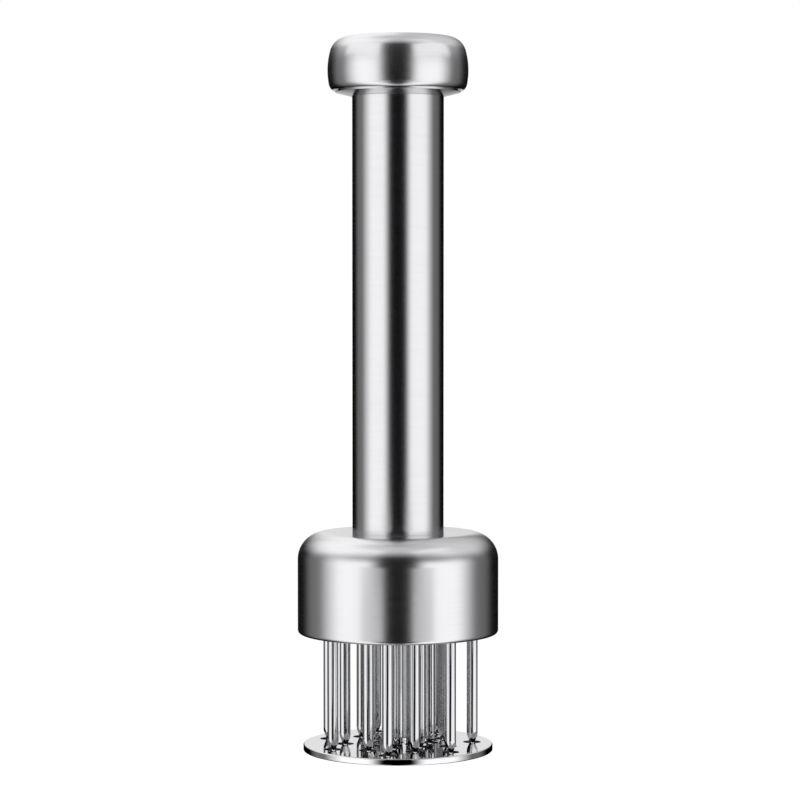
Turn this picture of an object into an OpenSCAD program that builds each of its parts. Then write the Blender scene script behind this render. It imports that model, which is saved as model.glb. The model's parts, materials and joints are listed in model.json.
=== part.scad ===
// Blade meat tenderizer. A tubular handle with a round palm cap stands on a pressed steel bell.
// Inside the bell a plate carries three rings of round pins with ground points. A guard disc on a
// sprung rod covers the points, and slides up into the bell as the pins are pushed in.
// Units are millimetres. +Z is up. The origin is on the axis, at the underside of the guard disc.

/* [Bell housing] */
// Outer diameter of the bell
housing_d = 55; // [53:0.5:60]
// Height of the bell, from its rim to the foot of the handle
housing_h = 27.8; // [25:0.2:34]
// Thickness of the bell's sheet
housing_wall = 1.2; // [0.8:0.05:1.4]
// Outer radius of the bell's shoulder
shoulder_r = 7.4; // [4:0.2:9]
// Radius of the bell's lower edge
rim_r = 1.1; // [0.4:0.1:1.1]
// Height of the bell's rim above the underside of the guard disc
rim_z = 32.2; // [26:0.2:38]

/* [Handle] */
// Outer diameter of the handle tube
handle_d = 25; // [24:0.5:28]
// Wall of the handle tube
handle_wall = 1; // [0.8:0.1:1.2]
// Length of the handle tube that shows
handle_l = 118.8; // [105:0.2:140]

/* [Palm cap] */
// Largest diameter of the cap
cap_d = 38.4; // [37:0.2:44]
// Height of the cap
cap_h = 16.2; // [15:0.1:20]
// Thickness of the cap's sheet
cap_wall = 1.2; // [0.8:0.1:1.5]
// Height of the cap's widest line above its underside
cap_belly_h = 7.1; // [6.5:0.1:8]
// Radius of the cap's barrelled side, seen in section
cap_side_r = 20; // [16:0.5:40]
// Radius of the cap's upper edge
cap_top_r = 5; // [3:0.1:6]
// Radius of the cap's lower edge
cap_foot_r = 2.6; // [2:0.1:3]
// Rise of the dished base from the handle to its rim
base_rise = 1.2; // [0.6:0.1:1.4]
// Thickness of the base at its rim
base_rim_t = 0.15; // [0.1:0.05:0.5]
// Width of the seam between base and shell
seam_gap = 0.4; // [0.1:0.05:0.5]

/* [Pins] */
// Diameter of a pin
pin_d = 3; // [2.4:0.1:3.2]
// Number of pins in each ring
pins_per_ring = 7; // [5:1:7]
// Length of the ground point
pin_point_l = 4.5; // [3:0.1:6]
// Number of ground flats on a point
pin_flats = 4; // [3:1:6]
// Width of the blunt end left on a point
pin_tip_w = 0.25; // [0.1:0.05:0.4]
// Height of the points above the underside of the guard disc
pin_tip_z = 0.5; // [0.3:0.1:1.2]
// Diameter of a pin's head
pin_head_d = 4.4; // [4:0.1:4.8]
// Height of a pin's head
pin_head_h = 1; // [0.6:0.1:1.4]

/* [Guard] */
// Running gap between the guard disc and the bell
guard_gap = 0.3; // [0.25:0.05:0.5]
// Thickness of the guard disc
guard_t = 1.8; // [1.4:0.1:2.4]
// Radius of the guard disc's edges
guard_edge_r = 0.35; // [0.1:0.05:0.6]
// Diameter of the holes that the pins pass through
guard_hole_d = 4.5; // [4:0.1:4.8]
// Diameter of the boss at the foot of the rod
boss_d = 11; // [10:0.2:11.6]
// Height of the boss above the guard disc
boss_h = 2.4; // [2:0.1:3]
// Diameter of the guide rod
rod_d = 6; // [5:0.1:6.4]
// Length of the guide rod
rod_l = 110; // [100:1:120]
// Diameter of the screw that holds the disc to the rod
guard_screw_d = 3; // [2.5:0.1:3.4]
// Length of that screw
guard_screw_l = 12; // [8:0.5:16]

/* [Pin plates] */
// Depth of the pin plate inside the bell's rim
plate_inset = 6.3; // [5:0.1:8]
// Thickness of the pin plate
pin_plate_t = 3; // [2.6:0.1:4]
// Thickness of the backing plate over the pin heads
backing_t = 2; // [1:0.1:3]
// Width of the carrier's flange outside the axes of the plate screws
flange_margin = 3; // [2:0.1:4]
// Thickness of the carrier's flange
flange_t = 4; // [3:0.1:5]
// Wall of the carrier's neck round the spigot
neck_wall = 3.5; // [2:0.1:3.8]
// Diameter of the plate screws
plate_screw_d = 3; // [2.5:0.1:3.5]
// Diameter of the plate screws' heads
plate_screw_head_d = 5; // [4.6:0.1:5.6]
// Height of the plate screws' heads
plate_screw_head_h = 1.9; // [1.2:0.1:2]
// Number of plate screws
plate_screws_n = 3; // [2:1:3]

/* [Inside the handle] */
// Length of the plug in the foot of the tube
lower_plug_l = 15; // [10:0.5:20]
// Diameter of that plug's spigot, which passes through the bell
spigot_d = 18; // [16:0.5:19]
// Distance that the spigot stops short of the backing plate
spigot_back = 2; // [1.6:0.1:3]
// Outer diameter of the guide bush
bush_d = 10; // [9:0.2:12]
// Diameter of the flange at the bush's foot
bush_flange_d = 14; // [13:0.2:15]
// Thickness of that flange
bush_flange_t = 1; // [0.6:0.1:1.4]
// Thickness of the stop washer
stop_washer_t = 1; // [0.6:0.1:2]
// Outer diameter of the stop washer
stop_washer_d = 17; // [14:0.5:19]
// Thickness of the retaining clip
clip_t = 1.2; // [0.8:0.1:1.6]
// Outer diameter of the retaining clip
clip_d = 11; // [9:0.2:12]
// Depth of the clip's groove in the rod
groove_depth = 0.6; // [0.4:0.05:0.9]
// Thickness of the lower spring seat
lower_seat_t = 2.5; // [1.5:0.1:4]
// Thickness of the upper spring seat
upper_seat_t = 1; // [0.8:0.1:2]
// Length of the centring spigots in the ends of the spring
centring_l = 4; // [2:0.5:6]
// Radial clearance of those spigots in the spring
centring_gap = 0.7; // [0.6:0.05:1]
// Length of the plug in the top of the tube
upper_plug_l = 16; // [12:0.5:20]
// Diameter of the stud that holds the cap
stud_d = 8; // [6:0.5:9]
// Length of the stud
stud_l = 20; // [16:0.5:22]
// Outer diameter of the threaded boss inside the cap
cap_boss_d = 15; // [13:0.5:18]
// Height of that boss above the cap's underside
cap_boss_h = 9; // [7:0.1:10]

/* [Return spring] */
// Diameter of the wire
spring_wire = 1.5; // [1.2:0.1:1.8]
// Gap between the spring and the wall of the handle tube
spring_side_gap = 2.25; // [1.5:0.05:2.6]
// Number of turns
spring_turns = 14; // [10:1:16]
// Gap between the turns at each closed end
spring_end_gap = 0.5; // [0.45:0.05:0.8]

/* [Fits] */
// Radial clearance of the rod in its guide bush
running_gap = 0.05; // [0.02:0.01:0.08]
// Radial clearance of pieces that are pressed or screwed together
seat_gap = 0.02; // [0.01:0.01:0.04]
// Radial clearance of holes that a moving or a loose piece passes through
free_gap = 0.5; // [0.3:0.05:0.6]
// Gap left at each end of the guard's travel
stop_gap = 0.3; // [0.2:0.05:0.5]

/* [Hidden] */
$fn = 96;
// Every cut runs this far past the face that it starts from
overrun = pin_head_h;
// Angle of the first outer pin, and the angle that the ground flats of every pin face
ring_phase = 5;
flat_turn = 25;
// Radius of each ring as a share of the pin plate's radius, and its turn as a share of a pin's step
ring_names = ["outer", "middle", "inner"];
ring_radius_shares = [0.78, 0.555, 0.33];
ring_turn_shares = [0, 0.5, 0];

// Radii
housing_r = housing_d / 2;
bell_r = housing_r - housing_wall;
plate_r = bell_r - seat_gap;
guard_r = bell_r - guard_gap;
ring_radii = plate_r * ring_radius_shares;
screw_ring_r = ring_radii[1];
flange_r = screw_ring_r + flange_margin;
tube_r = handle_d / 2;
bore_r = tube_r - handle_wall;
cap_r = cap_d / 2;
rod_r = rod_d / 2;
groove_r = rod_r - groove_depth;
spigot_r = spigot_d / 2;
neck_r = spigot_r + neck_wall;
wire_r = spring_wire / 2;
spring_mean_r = bore_r - spring_side_gap - wire_r;
spring_seat_r = spring_mean_r + spring_wire;
centring_r = spring_mean_r - wire_r - centring_gap;

// Heights, from the ground up
boss_z = guard_t + boss_h;
plate_z = rim_z + plate_inset;
backing_z = plate_z + pin_plate_t;
carrier_z = backing_z + backing_t;
housing_z = rim_z + housing_h;
ceiling_z = housing_z - housing_wall;
spigot_z = carrier_z + spigot_back;
washer_z = housing_z + lower_plug_l;
clip_z = washer_z + stop_washer_t + stop_gap;
lower_seat_z = clip_z + clip_t;
spring_z = lower_seat_z + lower_seat_t;
cap_z = housing_z + handle_l;
upper_plug_z = cap_z - upper_plug_l;
upper_seat_z = upper_plug_z - upper_seat_t;
seam_z = cap_z + base_rise + base_rim_t;
shell_z = seam_z + seam_gap;
cap_top_z = cap_z + cap_h;
boss_top_z = cap_z + cap_boss_h;
stud_z = cap_z - stud_l / 2;

// Distance from rest until the boss meets the pin plate
guard_travel = plate_z - boss_z - stop_gap;
echo(guard_travel = guard_travel, overall_height = cap_top_z);

FIXED_NAMES = [
    "guard_disc", "disc_boss", "disc_screw", "guide_rod", "retaining_clip", "lower_spring_seat",
    "return_spring", "upper_spring_seat", "stop_washer", "guide_bush", "lower_plug", "pin_plate",
    "backing_plate", "plate_screws", "pin_carrier", "housing", "handle_tube", "upper_plug",
    "cap_stud", "cap_base", "cap_shell"
];
RINGS = [0:len(ring_names) - 1];
PLACES = [1:pins_per_ring];

steel = "#c9cacb";
bright_steel = "#dcdddf";
spring_steel = "#8f9295";
bronze = "#b08a55";
nylon = "#e9e6dc";

function pin_name(ring, place) = str(ring_names[ring], "_pin_", place);

// Angle of a pin, counted round its ring
function pin_angle(ring, place) =
    ring_phase + (place - 1 + ring_turn_shares[ring]) * 360 / pins_per_ring;

// The plate screws stand on the middle ring, in line with outer pins spread as evenly as can be
function screw_angle(i) = pin_angle(0, 1 + round(i * pins_per_ring / plate_screws_n));

// Half of a turned piece's section, from z0 to z1, with rounded upper and lower edges
module turned_outline(r, z0, z1, top_r, foot_r) {
    translate([0, z0 + foot_r]) square([r, z1 - z0 - top_r - foot_r]);
    if (top_r > 0) {
        translate([0, z1 - top_r]) square([r - top_r, top_r]);
        translate([r - top_r, z1 - top_r]) circle(top_r);
    }
    if (foot_r > 0) {
        translate([0, z0]) square([r - foot_r, foot_r]);
        translate([r - foot_r, z0 + foot_r]) circle(foot_r);
    }
}

// A round bar or hole with its foot at z0 and its top at z1
module bar(r, z0, z1) {
    translate([0, 0, z0]) cylinder(r = r, h = z1 - z0);
}

module at_pins() {
    for (ring = RINGS) for (place = PLACES) {
        rotate([0, 0, pin_angle(ring, place)]) translate([ring_radii[ring], 0, 0]) children();
    }
}

module at_screws() {
    for (i = [0:plate_screws_n - 1]) {
        rotate([0, 0, screw_angle(i)]) translate([screw_ring_r, 0, 0]) children();
    }
}

// Guard: everything that slides

guard_screw_head_r = guard_screw_d;
guard_screw_head_h = guard_screw_d / 2;
guard_screw_z = guard_edge_r / 2;

module guard_disc() {
    color(bright_steel) difference() {
        rotate_extrude() turned_outline(guard_r, 0, guard_t, guard_edge_r, guard_edge_r);
        at_pins() bar(guard_hole_d / 2, -overrun, guard_t + overrun);
        bar(guard_screw_d / 2 + seat_gap, -overrun, guard_t + overrun);
        screw_cone(seat_gap);
        bar(guard_screw_head_r + seat_gap, -overrun, guard_screw_z);
    }
}

// Countersunk head of the disc's screw, grown by a clearance
module screw_cone(clearance) {
    translate([0, 0, guard_screw_z])
        cylinder(
            r1 = guard_screw_head_r + clearance,
            r2 = guard_screw_d / 2 + clearance,
            h = guard_screw_head_h
        );
}

module disc_boss() {
    color(steel) difference() {
        rotate_extrude() turned_outline(boss_d / 2, guard_t, boss_z, guard_edge_r, 0);
        bar(rod_r + seat_gap, guard_t - overrun, boss_z + overrun);
    }
}

module disc_screw() {
    slot_w = guard_screw_d / 4;
    color(spring_steel) difference() {
        union() {
            screw_cone(0);
            bar(guard_screw_d / 2, guard_screw_z + guard_screw_head_h, guard_screw_z + guard_screw_l);
        }
        translate([-guard_screw_head_r, -slot_w / 2, guard_screw_z - overrun])
            cube([2 * guard_screw_head_r, slot_w, overrun + slot_w]);
    }
}

module guide_rod() {
    rod_top = guard_t + rod_l;
    color(bright_steel) difference() {
        rotate_extrude() turned_outline(rod_r, guard_t, rod_top, groove_depth, 0);
        bar(guard_screw_d / 2 + seat_gap, guard_t - overrun, guard_screw_z + guard_screw_l + overrun);
        difference() {
            bar(rod_r + overrun, clip_z, lower_seat_z);
            bar(groove_r, clip_z - overrun, lower_seat_z + overrun);
        }
    }
}

// An open spring clip in the rod's groove
module retaining_clip() {
    mouth_w = 2 * groove_r - groove_depth;
    color(spring_steel) difference() {
        bar(clip_d / 2, clip_z, lower_seat_z);
        bar(groove_r + seat_gap, clip_z - overrun, lower_seat_z + overrun);
        translate([0, -mouth_w / 2, clip_z - overrun]) cube([clip_d, mouth_w, clip_t + 2 * overrun]);
    }
}

module lower_spring_seat() {
    color(steel) difference() {
        union() {
            bar(spring_seat_r, lower_seat_z, spring_z);
            rotate_extrude()
                turned_outline(centring_r, lower_seat_z, spring_z + centring_l, groove_depth, 0);
        }
        bar(rod_r + seat_gap, lower_seat_z - overrun, spring_z + centring_l + overrun);
    }
}

// Return spring: a helix with a closed turn at each end, standing on its lower seat

rings_per_turn = 12;
wire_sides = 6;
spring_foot = spring_z + wire_r + running_gap;
spring_head = upper_seat_z - wire_r - running_gap;
end_pitch = spring_wire + spring_end_gap;
open_pitch = (spring_head - spring_foot - 2 * end_pitch) / (spring_turns - 2);
spring_rings = spring_turns * rings_per_turn;

// Height of the wire's centre after so many turns
function coil_height(turn) =
    turn < 1 ? spring_foot + turn * end_pitch
    : turn < spring_turns - 1 ? spring_foot + end_pitch + (turn - 1) * open_pitch
    : spring_head - (spring_turns - turn) * end_pitch;

// A point on the wire: ring number along it, and side number round it
function wire_point(ring, side) =
    let (around = 360 * ring / rings_per_turn, tip = 360 * side / wire_sides)
    let (reach = spring_mean_r + wire_r * cos(tip))
    [
        reach * cos(around),
        reach * sin(around),
        coil_height(ring / rings_per_turn) + wire_r * sin(tip)
    ];

function coil_centre(ring) =
    let (around = 360 * ring / rings_per_turn)
    [
        spring_mean_r * cos(around),
        spring_mean_r * sin(around),
        coil_height(ring / rings_per_turn)
    ];

function wire_index(ring, side) = ring * wire_sides + side % wire_sides;

// Least distance between the wire's surfaces half a turn or more apart
least_coil_gap = min([
    for (a = [0:spring_rings - rings_per_turn / 2])
        for (b = [a + rings_per_turn / 2:spring_rings])
            norm(coil_centre(b) - coil_centre(a)) - spring_wire
]);
echo(least_coil_gap = least_coil_gap);

module return_spring() {
    points = [
        for (ring = [0:spring_rings])
            for (side = [0:wire_sides - 1]) wire_point(ring, side)
    ];
    sides = [
        for (ring = [0:spring_rings - 1])
            for (side = [0:wire_sides - 1])
                for (upper = [false, true])
                    upper
                        ? [
                            wire_index(ring, side + 1),
                            wire_index(ring + 1, side),
                            wire_index(ring + 1, side + 1)
                        ]
                        : [
                            wire_index(ring, side),
                            wire_index(ring + 1, side),
                            wire_index(ring, side + 1)
                        ]
    ];
    foot = [for (side = [1:wire_sides - 2]) [0, side, side + 1]];
    head = [
        for (side = [1:wire_sides - 2])
            [
                wire_index(spring_rings, 0),
                wire_index(spring_rings, side + 1),
                wire_index(spring_rings, side)
            ]
    ];
    color(spring_steel) polyhedron(points, concat(sides, foot, head));
}

// Handle: everything that the hand holds, with the pins

module upper_spring_seat() {
    color(steel) difference() {
        bar(spring_seat_r, upper_seat_z, upper_plug_z);
        bar(centring_r + seat_gap, upper_seat_z - overrun, upper_plug_z + overrun);
    }
}

module stop_washer() {
    color(nylon) difference() {
        bar(stop_washer_d / 2, washer_z, washer_z + stop_washer_t);
        bar(rod_r + free_gap, washer_z - overrun, washer_z + stop_washer_t + overrun);
    }
}

module guide_bush() {
    color(bronze) difference() {
        union() {
            bar(bush_d / 2, spigot_z - bush_flange_t, washer_z);
            bar(bush_flange_d / 2, spigot_z - bush_flange_t, spigot_z);
        }
        bar(rod_r + running_gap, spigot_z - bush_flange_t - overrun, washer_z + overrun);
    }
}

module lower_plug() {
    color(steel) difference() {
        union() {
            bar(bore_r - seat_gap, housing_z, washer_z);
            bar(spigot_r, spigot_z, housing_z);
        }
        bar(bush_d / 2 + seat_gap, spigot_z - overrun, washer_z + overrun);
    }
}

module pin_plate() {
    head_z = backing_z - pin_head_h;
    color(steel) difference() {
        bar(plate_r, plate_z, backing_z);
        at_pins() {
            bar(pin_d / 2 + seat_gap, plate_z - overrun, backing_z);
            bar(pin_head_d / 2 + seat_gap, head_z, backing_z + overrun);
        }
        at_screws() {
            bar(plate_screw_head_d / 2 + seat_gap, plate_z - overrun, plate_z + plate_screw_head_h);
            bar(plate_screw_d / 2 + seat_gap, plate_z, backing_z + overrun);
        }
        bar(rod_r + free_gap, plate_z - overrun, backing_z + overrun);
    }
}

module backing_plate() {
    color(steel) difference() {
        bar(plate_r, backing_z, carrier_z);
        at_screws() bar(plate_screw_d / 2 + seat_gap, backing_z - overrun, carrier_z + overrun);
        bar(rod_r + free_gap, backing_z - overrun, carrier_z + overrun);
    }
}

module plate_screws() {
    slot_w = plate_screw_d / 4;
    color(spring_steel) at_screws() difference() {
        union() {
            bar(plate_screw_head_d / 2, plate_z, plate_z + plate_screw_head_h);
            bar(plate_screw_d / 2, plate_z + plate_screw_head_h, carrier_z + flange_t);
        }
        translate([-plate_screw_head_d, -slot_w / 2, plate_z - overrun])
            cube([2 * plate_screw_head_d, slot_w, overrun + slot_w]);
    }
}

// Flanged hub that holds the plates, and clamps the bell against the foot of the handle
module pin_carrier() {
    color(steel) difference() {
        union() {
            bar(flange_r, carrier_z, carrier_z + flange_t);
            bar(neck_r, carrier_z, ceiling_z);
        }
        bar(spigot_r + seat_gap, carrier_z - overrun, ceiling_z + overrun);
        at_screws() bar(plate_screw_d / 2 + seat_gap, carrier_z - overrun, ceiling_z);
    }
}

// The bell is a drawn cup, open below, with a hole for the spigot in its crown
module housing() {
    color(steel) difference() {
        rotate_extrude() difference() {
            turned_outline(housing_r, rim_z, housing_z, shoulder_r, rim_r);
            turned_outline(bell_r, rim_z - overrun, ceiling_z, shoulder_r - housing_wall, 0);
        }
        bar(spigot_r + seat_gap, ceiling_z - overrun, housing_z + overrun);
    }
}

module handle_tube() {
    color(steel) difference() {
        bar(tube_r, housing_z, cap_z);
        bar(bore_r, housing_z - overrun, cap_z + overrun);
    }
}

module upper_plug() {
    color(steel) difference() {
        union() {
            bar(bore_r - seat_gap, upper_plug_z, cap_z);
            bar(centring_r, upper_seat_z - centring_l, upper_plug_z);
        }
        bar(stud_d / 2 + seat_gap, stud_z - overrun, cap_z + overrun);
    }
}

module cap_stud() {
    color(spring_steel) bar(stud_d / 2, stud_z, stud_z + stud_l);
}

// The cap's section is three arcs, each tangent to the next: foot, barrelled side and top
belly_z = cap_z + cap_belly_h;
belly_x = cap_r - cap_side_r;
cap_foot_z = cap_z + base_rise + cap_foot_r;
cap_edge_z = cap_top_z - cap_top_r;
register_r = cap_edge_x(cap_foot_z) - seat_gap;
register_z = shell_z + base_rise + base_rim_t;
rim_at_seam = cap_edge_x(cap_foot_z) + sqrt(pow(cap_foot_r, 2) - pow(cap_foot_z - seam_z, 2));

// Distance from the axis of an edge arc's centre, at this height
function cap_edge_x(z) =
    let (edge_r = z < belly_z ? cap_foot_r : cap_top_r)
    belly_x + sqrt(pow(cap_side_r - edge_r, 2) - pow(z - belly_z, 2));

// Direction from the side arc's centre through an edge arc's centre, to where the two arcs meet
function cap_lean(z) = atan2(z - belly_z, cap_edge_x(z) - belly_x);

function heading(angle) = [cos(angle), sin(angle)];

// The cap's base is dished below, with a register that the shell's rolled edge grips
module cap_base() {
    color(steel) difference() {
        rotate_extrude() {
            polygon([
                [0, cap_z],
                [tube_r, cap_z],
                [rim_at_seam, cap_z + base_rise],
                [rim_at_seam, seam_z],
                [register_r, seam_z],
                [register_r, register_z],
                [0, register_z]
            ]);
            translate([0, cap_z]) square([cap_boss_d / 2, cap_boss_h]);
        }
        bar(stud_d / 2 + seat_gap, cap_z - overrun, boss_top_z + overrun);
    }
}

// Slice of a disc between two directions, with its point at the disc's centre
module slice(centre, r, from, to) {
    far = 2 * r;
    intersection() {
        translate(centre) circle(r);
        polygon([centre, for (angle = [from, (from + to) / 2, to]) centre + far * heading(angle)]);
    }
}

module cap_outline(inset) {
    foot = [cap_edge_x(cap_foot_z), cap_foot_z];
    edge = [cap_edge_x(cap_edge_z), cap_edge_z];
    floor_z = foot.y - cap_foot_r + inset;
    top_z = cap_top_z - inset;
    polygon([[0, floor_z], [foot.x, floor_z], foot, edge, [edge.x, top_z], [0, top_z]]);
    slice(foot, cap_foot_r - inset, -90, cap_lean(foot.y));
    slice(edge, cap_top_r - inset, cap_lean(edge.y), 90);
    intersection() {
        translate([belly_x, belly_z]) circle(cap_side_r - inset);
        polygon([
            foot,
            foot + cap_r * heading(cap_lean(foot.y)),
            edge + cap_r * heading(cap_lean(edge.y)),
            edge
        ]);
    }
}

module cap_shell() {
    below_z = cap_z - overrun;
    color(steel) rotate_extrude() difference() {
        cap_outline(0);
        cap_outline(cap_wall);
        translate([0, below_z]) square([cap_r + overrun, shell_z - below_z]);
        translate([0, below_z]) square([cap_edge_x(cap_foot_z), cap_foot_z - below_z]);
    }
}

// A pin with a flat head, and flats ground to a point at its lower end
module pin() {
    lean = atan((pin_d - pin_tip_w) / 2 / pin_point_l);
    flat_l = pin_point_l + 2 * overrun;
    color(bright_steel) difference() {
        union() {
            bar(pin_d / 2, pin_tip_z, backing_z);
            bar(pin_head_d / 2, backing_z - pin_head_h, backing_z);
        }
        for (i = [0:pin_flats - 1]) {
            rotate([0, 0, i * 360 / pin_flats]) translate([pin_tip_w / 2, -pin_d, pin_tip_z])
                rotate([0, lean, 0]) translate([0, 0, -overrun]) cube([pin_d, 2 * pin_d, flat_l]);
        }
    }
}

module placed_pin(ring, place) {
    rotate([0, 0, pin_angle(ring, place)]) translate([ring_radii[ring], 0, 0])
        rotate([0, 0, flat_turn - pin_angle(ring, place)]) pin();
}

guard_disc();
disc_boss();
disc_screw();
guide_rod();
retaining_clip();
lower_spring_seat();
return_spring();
upper_spring_seat();
stop_washer();
guide_bush();
lower_plug();
pin_plate();
backing_plate();
plate_screws();
pin_carrier();
housing();
handle_tube();
upper_plug();
cap_stud();
cap_base();
cap_shell();
for (ring = RINGS) for (place = PLACES) {
    placed_pin(ring, place);
}
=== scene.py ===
"""Dressed model of a plunger meat tenderizer: a capped steel tube on a bell with pins and a guard.

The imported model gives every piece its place. Here the shells, the pins and the guard, which show, are
made again with the rounded edges of the real ones, and the spring with its round wire. Every piece
gets the metal that it is made of, and the studio and the camera are set up. Lengths are in metres and
sizes are written in millimetres times MM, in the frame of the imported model: +Z up, with the origin on
the axis at the underside of the guard disc.
"""

from __future__ import annotations

import json
import logging
import math
from dataclasses import dataclass, field
from enum import Enum
from typing import Any

import bpy
from mathutils import Matrix, Vector

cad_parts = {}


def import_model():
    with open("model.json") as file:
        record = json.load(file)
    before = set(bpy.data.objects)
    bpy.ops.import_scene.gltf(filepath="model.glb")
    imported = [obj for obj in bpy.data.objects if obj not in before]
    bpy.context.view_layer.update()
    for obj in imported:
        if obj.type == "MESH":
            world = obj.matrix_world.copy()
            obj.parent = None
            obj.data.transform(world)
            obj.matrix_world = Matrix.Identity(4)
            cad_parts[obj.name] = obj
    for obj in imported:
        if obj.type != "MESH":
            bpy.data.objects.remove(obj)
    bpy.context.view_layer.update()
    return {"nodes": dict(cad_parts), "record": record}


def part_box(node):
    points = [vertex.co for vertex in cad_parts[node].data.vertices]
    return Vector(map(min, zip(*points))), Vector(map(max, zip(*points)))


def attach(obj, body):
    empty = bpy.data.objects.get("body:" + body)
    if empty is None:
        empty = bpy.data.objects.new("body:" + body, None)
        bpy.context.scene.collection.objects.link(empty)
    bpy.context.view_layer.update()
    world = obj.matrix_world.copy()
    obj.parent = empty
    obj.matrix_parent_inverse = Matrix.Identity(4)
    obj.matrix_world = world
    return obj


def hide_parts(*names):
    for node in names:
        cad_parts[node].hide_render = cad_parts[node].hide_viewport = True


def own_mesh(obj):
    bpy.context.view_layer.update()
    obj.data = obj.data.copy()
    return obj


LOG = logging.getLogger("tenderizer")
MM = 0.001
HANDLE_BODY = "handle"
GUARD_BODY = "guard"
GUARD_JOINT = "guard_slide"
RINGS = ("outer", "middle", "inner")
PINS_PER_RING = 7
# The pin that the others are copied from
PATTERN_PIN = "pin_on_axis"
# Faces round a turned piece, and the angle under which two faces shade as one surface
ROUND_STEPS = 192
SMOOTH_ANGLE = math.radians(28)
# How much the larger faces count in the shading of a corner, from 1 to 100
AREA_WEIGHT = 80
# Points nearer than this are one point
WELD = 0.0005 * MM
# Values between which a noise pattern has most of its change, and the least roughness of a surface
NOISE_BAND = (0.3, 0.7)
LEAST_ROUGHNESS = 0.01


def linear(colour: str) -> tuple[float, float, float, float]:
    """Turns an sRGB hex colour to a linear one.

    Args:
        colour: The colour as #RRGGBB.

    Returns:
        Red, green, blue and an alpha of one, as a shader's socket takes them.
    """
    shares = [int(colour[i : i + 2], 16) / 255 for i in (1, 3, 5)]
    # The sRGB curve: a straight line near black, and a power above it
    straight = [s / 12.92 if s <= 0.04045 else ((s + 0.055) / 1.055) ** 2.4 for s in shares]
    return (*straight, 1.0)


def add_node(
    tree: bpy.types.NodeTree, kind: str, inputs: dict[Any, Any] | None = None, **settings: Any
) -> Any:
    """Adds a node with its settings, values and links.

    Args:
        tree: The node tree that it goes in.
        kind: The node's type.
        inputs: What goes into its sockets, by name or number: an output socket is linked, and
            anything else is set as the socket's value.
        **settings: Properties of the node itself.

    Returns:
        The node.
    """
    node = tree.nodes.new(kind)
    for name, value in settings.items():
        setattr(node, name, value)
    for socket, value in (inputs or {}).items():
        if isinstance(value, bpy.types.NodeSocket):
            tree.links.new(value, node.inputs[socket])
        else:
            node.inputs[socket].default_value = value
    return node


def compute(tree: bpy.types.NodeTree, operation: str, *values: Any) -> bpy.types.NodeSocket:
    """Adds a Math node.

    Args:
        tree: The node tree that it goes in.
        operation: What it does.
        *values: What it does it with: numbers or output sockets.

    Returns:
        The socket that gives the result.
    """
    return add_node(tree, "ShaderNodeMath", dict(enumerate(values)), operation=operation).outputs[0]


def ramp(
    tree: bpy.types.NodeTree,
    value: bpy.types.NodeSocket,
    start: float,
    end: float,
    low: float = 0.0,
    high: float = 1.0,
) -> bpy.types.NodeSocket:
    """Adds a smooth step.

    Args:
        tree: The node tree that it goes in.
        value: The value that it follows.
        start: The value where it starts, which may be above the end.
        end: The value where it ends.
        low: What it gives before the start.
        high: What it gives after the end.

    Returns:
        The socket that gives the step.
    """
    step = add_node(
        tree,
        "ShaderNodeMapRange",
        {"Value": value, "From Min": start, "From Max": end, "To Min": low, "To Max": high},
        interpolation_type="SMOOTHSTEP",
    )
    return step.outputs["Result"]


def empty_material(name: str) -> bpy.types.Material:
    """Makes a material without nodes.

    Args:
        name: Its name.

    Returns:
        The material.
    """
    made = bpy.data.materials.new(name)
    made.use_nodes = True
    made.node_tree.nodes.clear()
    return made


class Grain(Enum):
    """Which way the fine lines of a finish run."""

    ROUND = "round the axis"
    ALONG = "along the axis"
    NONE = "no lines"


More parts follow.
